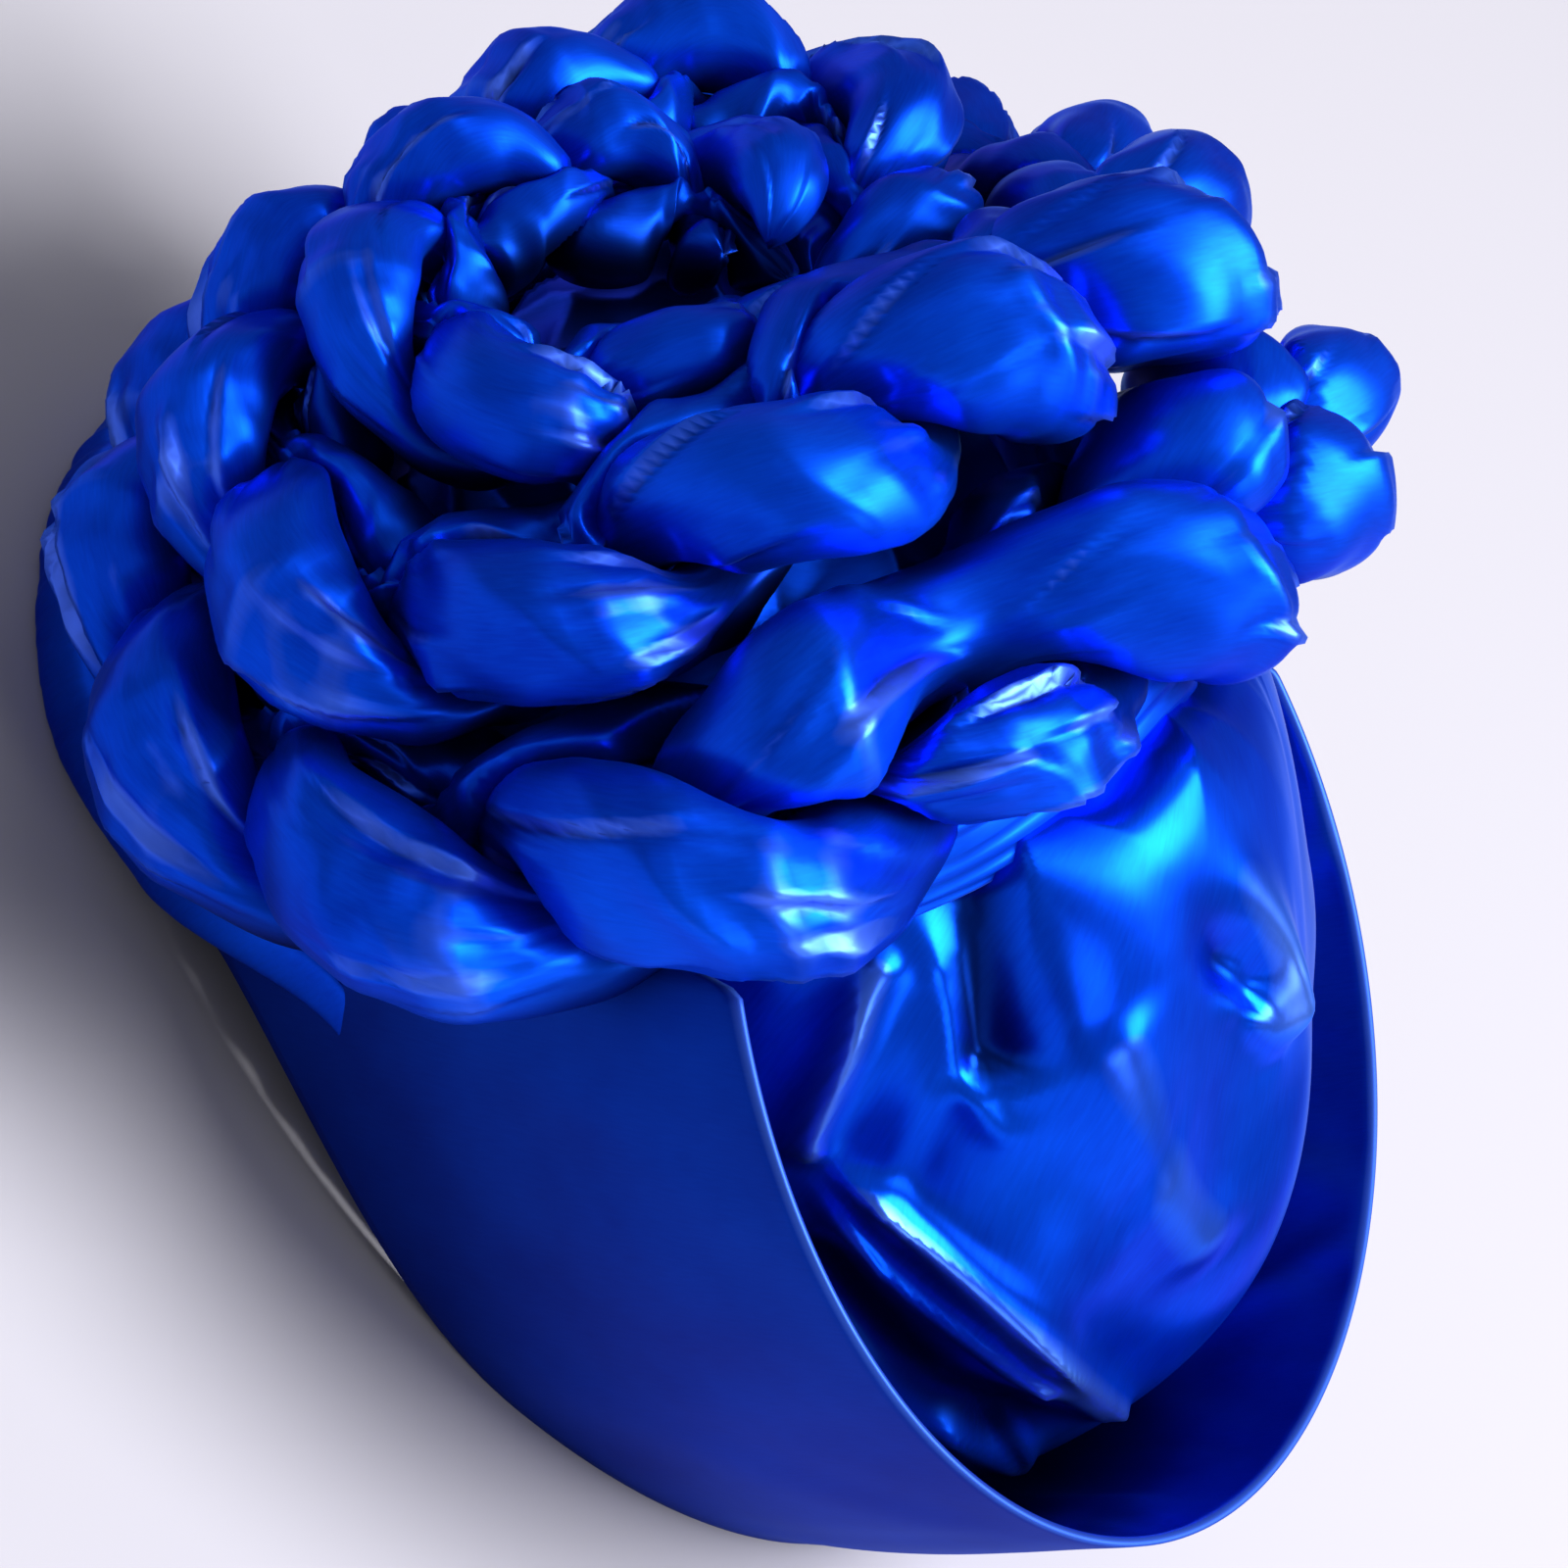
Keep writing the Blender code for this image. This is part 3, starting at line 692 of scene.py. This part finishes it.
class CAP_OT_plait(bpy.types.Operator):
    """Three stuffed tubes of satin, plaited and coiled into a rosette"""

    bl_idname = "cap.plait"
    bl_label = "Plait"

    def execute(self, context):
        sizes = scene_sizes()
        turns, phases = plait_stations(SECTION_STEP)
        coarse_turns, coarse_phases = plait_stations(NEIGHBOUR_STEP)
        widths = row_values(WIDTH, turns)
        coarse_widths = row_values(WIDTH, coarse_turns)
        middle, across, outward = coil_frames(turns)
        around = np.arange(SECTION_SIDES) * math.tau / SECTION_SIDES
        rays = (
            across[:, None, :] * np.cos(around)[None, :, None]
            + outward[:, None, :] * np.sin(around)[None, :, None]
        )
        neighbours = [strand_line(coarse_turns, coarse_phases, s) for s in range(STRANDS)]
        others, leads = (np.concatenate(parts) for parts in zip(*neighbours))
        other_radii = self.free_radii(np.tile(coarse_widths, STRANDS), leads, sizes)
        labels = np.repeat(np.arange(STRANDS), len(coarse_turns))
        other_phases = np.tile(coarse_phases, STRANDS)
        for strand in range(STRANDS):
            centres, lead = strand_line(turns, phases, strand)
            radii = self.free_radii(widths, lead, sizes)
            between = np.abs(other_phases[None, :] - phases[:, None])
            apart = (labels[None, :] != strand) | (between > OWN_PHASES)
            reach = squash_reach(centres, radii, rays, others, other_radii, apart)
            reach *= self.ends(len(turns))[:, None]
            relief, painted_crest_highlights = self.creases(strand, phases + strand * 360.0 / STRANDS, around)
            relief *= sizes.crease_depth
            lobe = (phases + strand * 360.0 / STRANDS) / LOBE_TURN
            soft = waves(strand + 21, np.cos(around)[None, :] * 9.0, lobe[:, None] * 28.0, 22.0)
            reach += (relief + 0.8 * soft) * (widths / 36.0)[:, None]
            reach = np.maximum(reach, 0.3)
            points = centres[:, None, :] + rays * reach[..., None]
            depth = ((points - middle[:, None, :]) * outward[:, None, :]).sum(-1) / widths[:, None]
            # Painted shade: darker deep between the strands and in the grooves of the creases
            shade = smooth(-0.2, 0.26, depth) * (1.0 - 0.7 * smooth(-0.15, -0.9, relief))
            steps = np.linalg.norm(np.diff(centres, axis=0), axis=1)
            length = np.concatenate(((0.0,), np.cumsum(steps)))
            coords = cloth_coords(around[None, :] * 11.0, length[:, None])
            piece = mesh_piece(
                f"plait_strand_{strand + 1}", points, tube_faces(len(turns), SECTION_SIDES), coords,
                cap_material("charmeuse_satin"), f"strand_{strand + 1}", shade, painted_crest_highlights,
            )
        return {"FINISHED"}

    @staticmethod
    def free_radii(widths, lead, sizes):
        """Radius of a strand where nothing presses on it."""
        return widths * sizes.strand_share * (1.0 + LEAD_RADIUS * lead)

    @staticmethod
    def ends(count):
        """Taper of the two ends, where the strands are tucked away."""
        place = np.arange(count)
        near = np.minimum(place, count - 1 - place) / 16.0
        return np.sqrt(np.clip(1.0 - (1.0 - np.minimum(near, 1.0)) ** 2, 0.02, 1.0))

    @staticmethod
    def creases(strand, angles, around):
        """Pinch creases that fan out from a lobe's ends or cross it, and painted highlights on their
        crests.
        """
        draw = np.random.default_rng(strand + 5)
        relief = np.zeros((len(angles), len(around)))
        painted_crest_highlights = np.zeros_like(relief)
        first = int(angles[0] // LOBE_TURN)
        last = int(angles[-1] // LOBE_TURN) + 1
        for lobe in range(first, last + 1):
            middle = lobe * LOBE_TURN + LOBE_MIDDLE
            rows = np.nonzero(np.abs(angles - middle) < CREASE_SPAN)[0]
            large = lobe % 2 == 0
            for end, count in ((-1.0, 5 if large else 3), (1.0, 3 if large else 2)):
                place = end * (angles[rows] - middle) / LOBE_HALF
                pinch = draw.uniform(0.5, 1.4)
                for number in range(count):
                    jitter, bend, reach, size = draw.uniform(*CREASE_LIMITS)
                    start = 0.1 + 2.3 * (number + 0.5 + jitter) / count
                    line = pinch + (start - pinch) * (1.0 - 0.62 * np.clip(place, 0.0, 1.0) ** 1.5)
                    line += end * bend * (place - 0.5) ** 2
                    away = (around[None, :] - line[:, None] + math.pi) % math.tau - math.pi
                    fade = smooth(1.0 - reach, 1.5 - reach, place) * smooth(1.1, 0.62, place)
                    away = away * CREASE_PITCH
                    weight = (size * fade)[:, None]
                    relief[rows] += weight * pleat(away * (-1.0) ** number)
                    # Painted highlight along the crest of each lengthwise crease
                    painted_crest_highlights[rows] += weight * bell(away, PAINTED_HIGHLIGHT_WIDTH)
            place = -(angles[rows] - middle) / LOBE_HALF
            rise = smooth(-0.4, 2.3, (around + 1.2) % math.tau - 1.2)
            span = bell((around - 1.0 + math.pi) % math.tau - math.pi, 1.2)
            for number in range(3 if large else 1):
                top, low, lean, size = draw.uniform(*CROSS_LIMITS)
                top += 0.15 + 0.3 * number
                low += 0.05 + 0.2 * number
                line = low + (top - low) * rise + lean * np.sin(math.tau * rise)
                away = (place[:, None] - line[None, :]) * CROSS_PITCH
                fade = smooth(1.15, 0.9, np.abs(place))[:, None] * span[None, :]
                relief[rows] += 0.7 * size * fade * bell(away, CROSS_WIDTH)
                # Painted highlight along each cross crease
                painted_crest_highlights[rows] += 0.6 * size * fade * bell(away, CROSS_WIDTH)
        return np.clip(relief, -1.5, 1.3), np.clip(painted_crest_highlights, 0.0, 1.0)


class CAP_OT_band(bpy.types.Operator):
    """Wide stiff band of doubled satin, folded at its upper edge"""

    bl_idname = "cap.band"
    bl_label = "Band"

    def execute(self, context):
        sizes = scene_sizes()
        columns = 320
        angles = np.linspace(-BAND_END, BAND_END, columns)
        face = np.linspace(0.0, 1.0, 44)
        low = rim_points(angles)
        low[:, 2] = rim_lift(angles)
        nape = low + np.array((0.0, 0.0, NAPE_HEIGHT))
        dip_right = smooth(*DIP_RIGHT, np.abs(angles))
        dip_left = smooth(*DIP_LEFT, np.abs(angles))
        dip = np.where(angles > 0.0, dip_right, dip_left)[:, None]
        high = loop_points(angles) * (1.0 - dip) + nape * dip
        outward = unit(rim_points(angles))
        bow = sizes.band_bow * (high[:, 2] / LOOP_MIDDLE[2])[:, None]
        rings = []
        coords = []
        shades = []
        painted_edge_highlights = []
        round_edge = [(1.0, 0.0), (1.004, 0.22), (1.006, 0.5), (1.004, 0.78)]
        profile = [(share, 0.0) for share in face[:-1]] + round_edge
        profile += [(share, 1.0) for share in face[::-1]]
        for share, depth in profile:
            wall = WALL + (sizes.band_edge - WALL) * smooth(0.7, 1.0, share)
            point = low + (high - low) * share
            swell = bow * math.sin(math.pi * min(share, 1.0))
            ease = self.unevenness(angles, share, depth)
            point = point + outward * (swell + ease) - outward * (wall * depth)
            rings.append(point)
            # Painted shade: the inner face darker toward its bottom
            shades.append(np.full(columns, 1.0 - depth * (0.1 + 0.7 * smooth(0.8, 0.3, share))))
            # Painted highlight along the folded upper edge
            painted_edge_highlights.append(np.full(columns, 0.7 * smooth(0.985, 1.0, share)))
            run = np.full(columns, share * 80.0 + depth * 90.0)
            coords.append(np.stack((np.radians(angles) * HEAD_RADIUS, run), -1))
        piece = mesh_piece(
            "folded_band", np.stack(rings, 1), tube_faces(columns, len(profile)),
            np.stack(coords, 1).reshape(-1, 2), cap_material("duchess_satin"), "band",
            np.stack(shades, 1), np.stack(painted_edge_highlights, 1),
        )
        return {"FINISHED"}

    @staticmethod
    def unevenness(angles, share, depth):
        """Slight handling marks of the stiff cloth, stronger on its inner face."""
        fade = math.sin(math.pi * min(share, 1.0)) ** 0.5 if share > 0.0 else 0.0
        marks = waves(3, angles * 1.4, np.full_like(angles, share * 70.0), 70.0)
        inner = waves(8, angles * 1.4, np.full_like(angles, share * 30.0), 34.0)
        for middle, slope, deep in BAND_DENTS:
            inner -= 1.5 * deep * bell(angles - middle - slope * (share - 0.6), 3.2)
        return (fade * (0.5 * marks + 0.9 * depth * inner))[:, None]


class CAP_OT_hem(bpy.types.Operator):
    """Padded hem round the nape, gathered a little by its elastic"""

    bl_idname = "cap.hem"
    bl_label = "Hem"

    def execute(self, context):
        sizes = scene_sizes()
        rows, sides = 300, 40
        angles = np.linspace(HEM_START, 360.0 - HEM_START, rows)
        signed = np.where(angles > 180.0, angles - 360.0, angles)
        edge = np.minimum(angles, 360.0 - angles)
        swell = 0.25 + 0.75 * smooth(HEM_START, BAND_END, edge)
        swell = swell * np.sqrt(smooth(HEM_START - 0.1, 106.0, edge))
        depth = sizes.hem_depth * swell
        height = HEM_HEIGHT * (0.15 + 0.85 * np.sqrt(swell))
        outward = unit(rim_points(angles))
        lift = rim_lift(signed) + HEM_END_LIFT * (1.0 - smooth(HEM_START, 112.0, edge))
        lean = 0.9 + 3.0 * (1.0 - smooth(100.0, 124.0, edge))
        foot = rim_points(angles) + outward * (lean + depth / 2.0)[:, None]
        around = (np.arange(sides) + 0.5) * math.tau / sides
        bulge = np.sign(np.cos(around)) * np.abs(np.cos(around)) ** 0.8
        rise = np.sign(np.sin(around)) * np.abs(np.sin(around)) ** 0.85
        gathers = 0.5 * waves(31, angles * 1.5, np.zeros(rows), 9.0) * swell
        reach = (depth / 2.0 + gathers)[:, None] * bulge[None, :]
        tall = (height / 2.0)[:, None] * (1.0 + rise[None, :])
        points = foot[:, None, :] + outward[:, None, :] * reach[..., None]
        points[..., 2] = lift[:, None] + tall
        coords = cloth_coords(np.radians(angles)[:, None] * HEAD_RADIUS, around[None, :] * 6.0)
        piece = mesh_piece(
            "nape_hem", points, tube_faces(rows, sides), coords,
            cap_material("charmeuse_satin"), "back_hem",
        )
        return {"FINISHED"}


class CAP_OT_crown(bpy.types.Operator):
    """Thin gathered dome of satin, open where the head goes in"""

    bl_idname = "cap.crown"
    bl_label = "Crown"

    def execute(self, context):
        sizes = scene_sizes()
        columns, rows, inner_rows = 440, 190, 34
        share = np.arange(columns) / columns
        crowding = np.sin(math.tau * (share - COLUMN_CENTRE)) + math.sin(math.tau * COLUMN_CENTRE)
        angles = 360.0 * share - COLUMN_CROWDING * crowding
        walls = []
        wall_lifts = []
        for count, inset in ((rows, 0.0), (inner_rows, sizes.crown_wall)):
            lifts = np.linspace(0.0, 1.0, count, endpoint=False)
            wall_lifts.append(lifts)
            grid = self.dome(sizes, angles, lifts, inset).reshape(-1, 3)
            apex = self.dome(sizes, np.zeros(1), np.ones(1), inset).reshape(-1, 3)
            lift = np.append(np.repeat(lifts, columns), 1.0)
            walls.append(self.raised(sizes, np.concatenate((grid, apex)), lift, inset))
        folded = []
        for wall in walls:
            outward = unit(wall * np.array((1.0, 1.0, 0.9)) - np.array((0.0, 0.0, 20.0)))
            heights = self.fold_heights(wall)
            folded.append(wall + outward * heights[:, None])
            if len(folded) == 1:
                # Painted highlight on the tops of ridges, and painted shade in valleys, from the fold
                # heights
                crest = heights / 4.0
        points = np.concatenate((folded[0][:-1], folded[1][:-1], folded[0][-1:], folded[1][-1:]))
        crest = np.concatenate((crest[:-1], np.zeros(len(walls[1]) - 1), crest[-1:], (0.0,)))
        below = LOOP_MIDDLE[2] + (points[:, 1] - LOOP_MIDDLE[1]) * math.tan(math.radians(LOOP_PITCH))
        # Painted shade: darker the further the cloth lies below the band's upper edge, and in the valleys
        # of the folds
        shade = smooth(46.0, 12.0, below - points[:, 2]) * (1.0 - 0.85 * smooth(-0.15, -0.95, crest))
        faces = self.shell_faces(rows, inner_rows, columns)
        turn = np.radians(angles)[None, :] * 60.0
        coords = [cloth_coords(turn, lifts[:, None] * 130.0) for lifts in wall_lifts]
        coords = np.concatenate((*coords, np.zeros((2, 2))))
        piece = mesh_piece(
            "gathered_crown", points, faces, coords,
            cap_material("crepe_back_satin"), "crown", shade, crest,
        )
        return {"FINISHED"}

    @staticmethod
    def dome(sizes, angles, lifts, inset):
        """Grid of points on the dome, rows from the rim to the apex, before its folds."""
        angle, lift = np.meshgrid(angles, lifts)
        climb = lift * math.pi / 2.0
        ahead = np.cos(np.radians(angle))
        front = 0.5 + 0.5 * ahead
        fullness = FULLNESS_FRONT + (FULLNESS_BACK - FULLNESS_FRONT) * np.maximum(0.0, -ahead)
        reach = np.maximum(np.cos(climb), 0.0) ** fullness
        reach = reach * (1.0 + PUFF * np.maximum(0.0, ahead) ** 0.7 * np.sin(math.pi * lift ** PUFF_LOW))
        base = rim_points(angle, CROWN_INSET + inset)
        fold = GATHER_DEPTH * np.cos(np.radians(angle) * GATHERS) * np.sin(2.0 * climb) ** 2
        size = np.linalg.norm(base, axis=-1)
        point = base * (reach * (1.0 + fold * front / size))[..., None]
        foot = rim_lift(np.where(angle > 180.0, 360.0 - angle, angle))
        point[..., 2] = foot + (sizes.crown_height - inset - foot) * np.sin(climb)
        return point

    @staticmethod
    def raised(sizes, point, lift, inset):
        """Lift the top of the dome along the coil's axis, to a low mound or to just under the strands."""
        axis, side, up = coil_basis()
        slope = unit(point / np.array((RIM_HALF_WIDTH, RIM_FRONT, sizes.crown_height)) ** 2)
        share = smooth(0.0, MOUND_START, lift) * smooth(*MOUND_FACING, slope @ axis)
        offset = point - np.array(COIL_MIDDLE)
        spread = (offset @ side) ** 2 + (offset @ up) ** 2
        ceiling = MOUND_TOP - inset - MOUND_FALL * spread - offset @ axis
        turns, phases = plait_stations(24.0)
        strands = [strand_line(turns, phases, s) for s in range(STRANDS)]
        centres, leads = (np.concatenate(parts) for parts in zip(*strands))
        widths = np.tile(row_values(WIDTH, turns), STRANDS)
        radii = widths * STRAND_FREE_RADIUS * (1.0 + LEAD_RADIUS * leads)
        wide = MOUND_REACH * radii
        room = np.empty(len(point))
        for first in range(0, len(point), 4000):
            ways = centres[None, :, :] - point[first:first + 4000, None, :]
            along = ways @ axis
            away = (ways ** 2).sum(-1) - along ** 2
            drop = np.sqrt(np.maximum(wide ** 2 - away, 0.0))
            rooms = np.where(away < wide ** 2, along + wide - radii - drop, 1000.0)
            room[first:first + 4000] = rooms.min(1) - MOUND_GAP - inset
        lower = np.minimum(ceiling, room)
        blend = np.log(1.0 + np.exp(-np.abs(ceiling - room) / MOUND_SOFTNESS))
        travel = lower - MOUND_SOFTNESS * blend
        travel = 0.5 * (travel + np.sqrt(travel ** 2 + MOUND_EASE ** 2)) * smooth(-10.0, 6.0, travel)
        return point + axis * (travel * share)[:, None]

    @staticmethod
    def fold_heights(point):
        """Height of the folds at each point of the crown."""
        total = np.zeros(len(point))
        for height, width, sharpness, path in CROWN_FOLDS:
            height *= RIDGE_BOOST if height > 0.0 else VALLEY_BOOST
            path = smooth_path(path, 3)
            nearest = np.full(len(point), 1.0e6)
            fade = np.zeros(len(point))
            count = len(path) - 1
            for place in range(count):
                start, way = path[place], path[place + 1] - path[place]
                share = np.clip((point - start) @ way / (way @ way), 0.0, 1.0)
                away = np.linalg.norm(point - start - share[:, None] * way, axis=1)
                along = (place + share) / count
                closer = away < nearest
                nearest = np.where(closer, away, nearest)
                ends = smooth(0.0, 0.16, along) * smooth(1.0, 0.84, along)
                fade = np.where(closer, 0.1 + 0.9 * ends, fade)
            pressed = np.exp(-nearest / (0.55 * width))
            total += height * fade * (sharpness * pressed + (1.0 - sharpness) * bell(nearest, width))
        turn = np.arctan2(-point[:, 0], -point[:, 1])
        behind = smooth(0.35, -0.35, np.cos(turn))
        low = smooth(46.0, 6.0, point[:, 2]) * smooth(2.0, 8.0, point[:, 2])
        uneven = waves(12, turn * 60.0, point[:, 2] * 0.25, 16.0)
        total += GATHER_HEIGHT * behind * low * (np.abs(np.sin(turn * 22.0 + uneven)) - 0.5)
        far_side = smooth(-10.0, 30.0, point[:, 0])
        total += 1.6 * far_side * waves(14, turn * 55.0, point[:, 2] * 0.3, 44.0)
        return total

    @staticmethod
    def shell_faces(rows, inner_rows, columns):
        """Quads of the outer and inner walls, their tips, and the strip that joins them at the rim."""
        ring = np.arange(columns)
        after = (ring + 1) % columns
        inner = rows * columns
        tip = inner + inner_rows * columns
        faces = []
        for first, count, apex, turned in ((0, rows, tip, 1), (inner, inner_rows, tip + 1, -1)):
            start = first + np.arange(count - 1)[:, None] * columns
            above = start + columns
            wall = np.stack((start + after, start + ring, above + ring, above + after), -1)
            top = first + (count - 1) * columns
            cap = np.stack((ring + top, np.full(columns, apex), after + top), -1)
            faces += wall.reshape(-1, 4)[:, ::turned].tolist() + cap[:, ::turned].tolist()
        faces += np.stack((ring, after, after + inner, ring + inner), -1).tolist()
        return faces


class CAP_OT_roll(bpy.types.Operator):
    """Rolled edge of satin tucked under the front of the plait"""

    bl_idname = "cap.roll"
    bl_label = "Tucked roll"

    def execute(self, context):
        sizes = scene_sizes()
        sides = 48
        line = smooth_path(TUCKED_EDGE, 36)
        rows = len(line)
        turns = np.linspace(84.0, 146.0, rows)
        tangent = unit(np.gradient(line, axis=0))
        inward = coil_points(turns) - line
        inward = unit(inward - tangent * (inward * tangent).sum(-1, keepdims=True))
        outward = unit(np.cross(tangent, inward))
        outward *= np.sign((outward * line).sum(-1, keepdims=True))
        near = np.minimum(np.arange(rows), np.arange(rows)[::-1]) / 30.0
        taper = np.sqrt(np.clip(1.0 - (1.0 - np.minimum(near, 1.0)) ** 2, 0.05, 1.0))
        around = -np.arange(sides) * math.tau / sides
        wide = ROLL_WIDE * sizes.roll_radius * taper[:, None] * np.cos(around)[None, :]
        pleats = 0.5 * np.cos(wide * 1.5 + 0.004 * np.arange(rows)[:, None] * wide)
        thick = ROLL_THICK * sizes.roll_radius * np.sin(around)[None, :]
        thick = (thick + pleats * (np.sin(around) > 0.0)) * taper[:, None]
        seat = (line + inward * ROLL_INWARD + outward * ROLL_OUTWARD)[:, None, :]
        points = seat + inward[:, None, :] * wide[..., None] + outward[:, None, :] * thick[..., None]
        # Painted highlight along one edge of the roll's section
        edge = np.broadcast_to(smooth(-0.93, -0.99, np.cos(around)), pleats.shape)
        coords = cloth_coords(around[None, :] * 5.0, turns[:, None] * 1.2)
        # Painted shade: darker in the valleys of the pleats
        piece = mesh_piece(
            "tucked_satin_roll", points, tube_faces(rows, sides), coords,
            cap_material("charmeuse_satin"), "tucked_roll",
            smooth(-1.2, -0.2, pleats), edge,
        )
        return {"FINISHED"}


class CAP_OT_stage(bpy.types.Operator):
    """Pale floor, soft lights and the camera"""

    bl_idname = "cap.stage"
    bl_label = "Stage"

    def execute(self, context):
        deselect_all()
        bpy.ops.mesh.primitive_plane_add(size=12.0, location=(0.0, 0.1, 0.0))
        floor = context.object
        floor.name = "floor"
        paper = bpy.data.materials.new("matte_paper")
        paper.use_nodes = True
        shader = paper.node_tree.nodes["Principled BSDF"]
        shader.inputs["Base Color"].default_value = context.scene.cap_colours.floor
        shader.inputs["Roughness"].default_value = 0.9
        floor.data.materials.append(paper)
        self.camera(context)
        self.lights(context)
        return {"FINISHED"}

    @staticmethod
    def camera(context):
        """Camera of the photograph."""
        azimuth = math.radians(CAMERA_AZIMUTH)
        elevation = math.radians(CAMERA_ELEVATION)
        roll = math.radians(CAMERA_ROLL)
        back = Vector((
            math.sin(azimuth) * math.cos(elevation),
            -math.cos(azimuth) * math.cos(elevation),
            math.sin(elevation),
        ))
        right = Vector((math.cos(azimuth), math.sin(azimuth), 0.0))
        up = back.cross(right)
        turned_right = right * math.cos(roll) + up * math.sin(roll)
        turned_up = up * math.cos(roll) - right * math.sin(roll)
        bpy.ops.object.camera_add()
        camera = context.object
        camera.name = "photo_camera"
        basis = Matrix((turned_right, turned_up, back)).transposed()
        place = (Vector(CAMERA_AIM) + back * CAMERA_DISTANCE) * MM
        camera.matrix_world = Matrix.Translation(place) @ basis.to_4x4()
        camera.data.lens = CAMERA_LENS
        camera.data.sensor_width = 36.0
        camera.data.clip_start = 0.01
        context.scene.camera = camera

    @staticmethod
    def lights(context):
        """Soft area lights that face the cap, and an even pale sky."""
        light = context.scene.cap_light
        rows = (
            ("key", (0.28, -1.15, 2.22), light.key_power, 1.7, 0xFFFFFF),
            ("top", (-0.35, 0.15, 1.2), light.top_power, 0.9, 0xFFFFFF),
            ("front", (-0.35, -1.1, 0.5), light.front_power, 0.5, 0xFFFFFF),
            ("fill", (-1.1, 0.5, 0.7), light.fill_power, 0.9, 0xE8F0FF),
        )
        middle = Vector((0.0, 0.09, 0.06))
        for name, place, power, size, colour in rows:
            bpy.ops.object.light_add(type="AREA", location=place)
            lamp = context.object
            lamp.name = f"{name}_light"
            lamp.data.energy = power
            lamp.data.shape = "DISK"
            lamp.data.size = size
            lamp.data.color = srgb(colour)[:3]
            lamp.rotation_euler = (Vector(place) - middle).to_track_quat("Z", "Y").to_euler()
        world = bpy.data.worlds.new("studio")
        world.use_nodes = True
        backdrop = world.node_tree.nodes["Background"]
        backdrop.inputs["Color"].default_value = srgb(0xEEEDF4)
        backdrop.inputs["Strength"].default_value = light.sky_strength
        context.scene.world = world
        context.scene.view_settings.view_transform = "Standard"


class CAP_PT_panel(bpy.types.Panel):
    """Sizes and steps of the cap"""

    bl_label = "Satin Cap"
    bl_idname = "CAP_PT_panel"
    bl_space_type = "VIEW_3D"
    bl_region_type = "UI"
    bl_category = "Satin Cap"

    def draw(self, context):
        layout = self.layout
        for group in (context.scene.cap_sizes, context.scene.cap_colours, context.scene.cap_light):
            for name in group.__annotations__:
                layout.prop(group, name)
        for operator in OPERATORS:
            layout.operator(operator.bl_idname)


OPERATORS = (CAP_OT_band, CAP_OT_hem, CAP_OT_crown, CAP_OT_plait, CAP_OT_roll, CAP_OT_stage)
CLASSES = (CapSizes, CapColours, CapLight, *OPERATORS, CAP_PT_panel)


def register():
    """Add the panel, the operators and the scene's properties."""
    for made in CLASSES:
        bpy.utils.register_class(made)
    bpy.types.Scene.cap_sizes = bpy.props.PointerProperty(type=CapSizes)
    bpy.types.Scene.cap_colours = bpy.props.PointerProperty(type=CapColours)
    bpy.types.Scene.cap_light = bpy.props.PointerProperty(type=CapLight)


def unregister():
    """Take them away again."""
    del bpy.types.Scene.cap_sizes
    del bpy.types.Scene.cap_colours
    del bpy.types.Scene.cap_light
    for made in reversed(CLASSES):
        bpy.utils.unregister_class(made)


def main():
    """Build the cap and its stage."""
    register()
    deselect_all()
    bpy.ops.cap.band()
    bpy.ops.cap.hem()
    bpy.ops.cap.crown()
    bpy.ops.cap.plait()
    bpy.ops.cap.roll()
    bpy.ops.cap.stage()


if __name__ == "__main__":
    main()
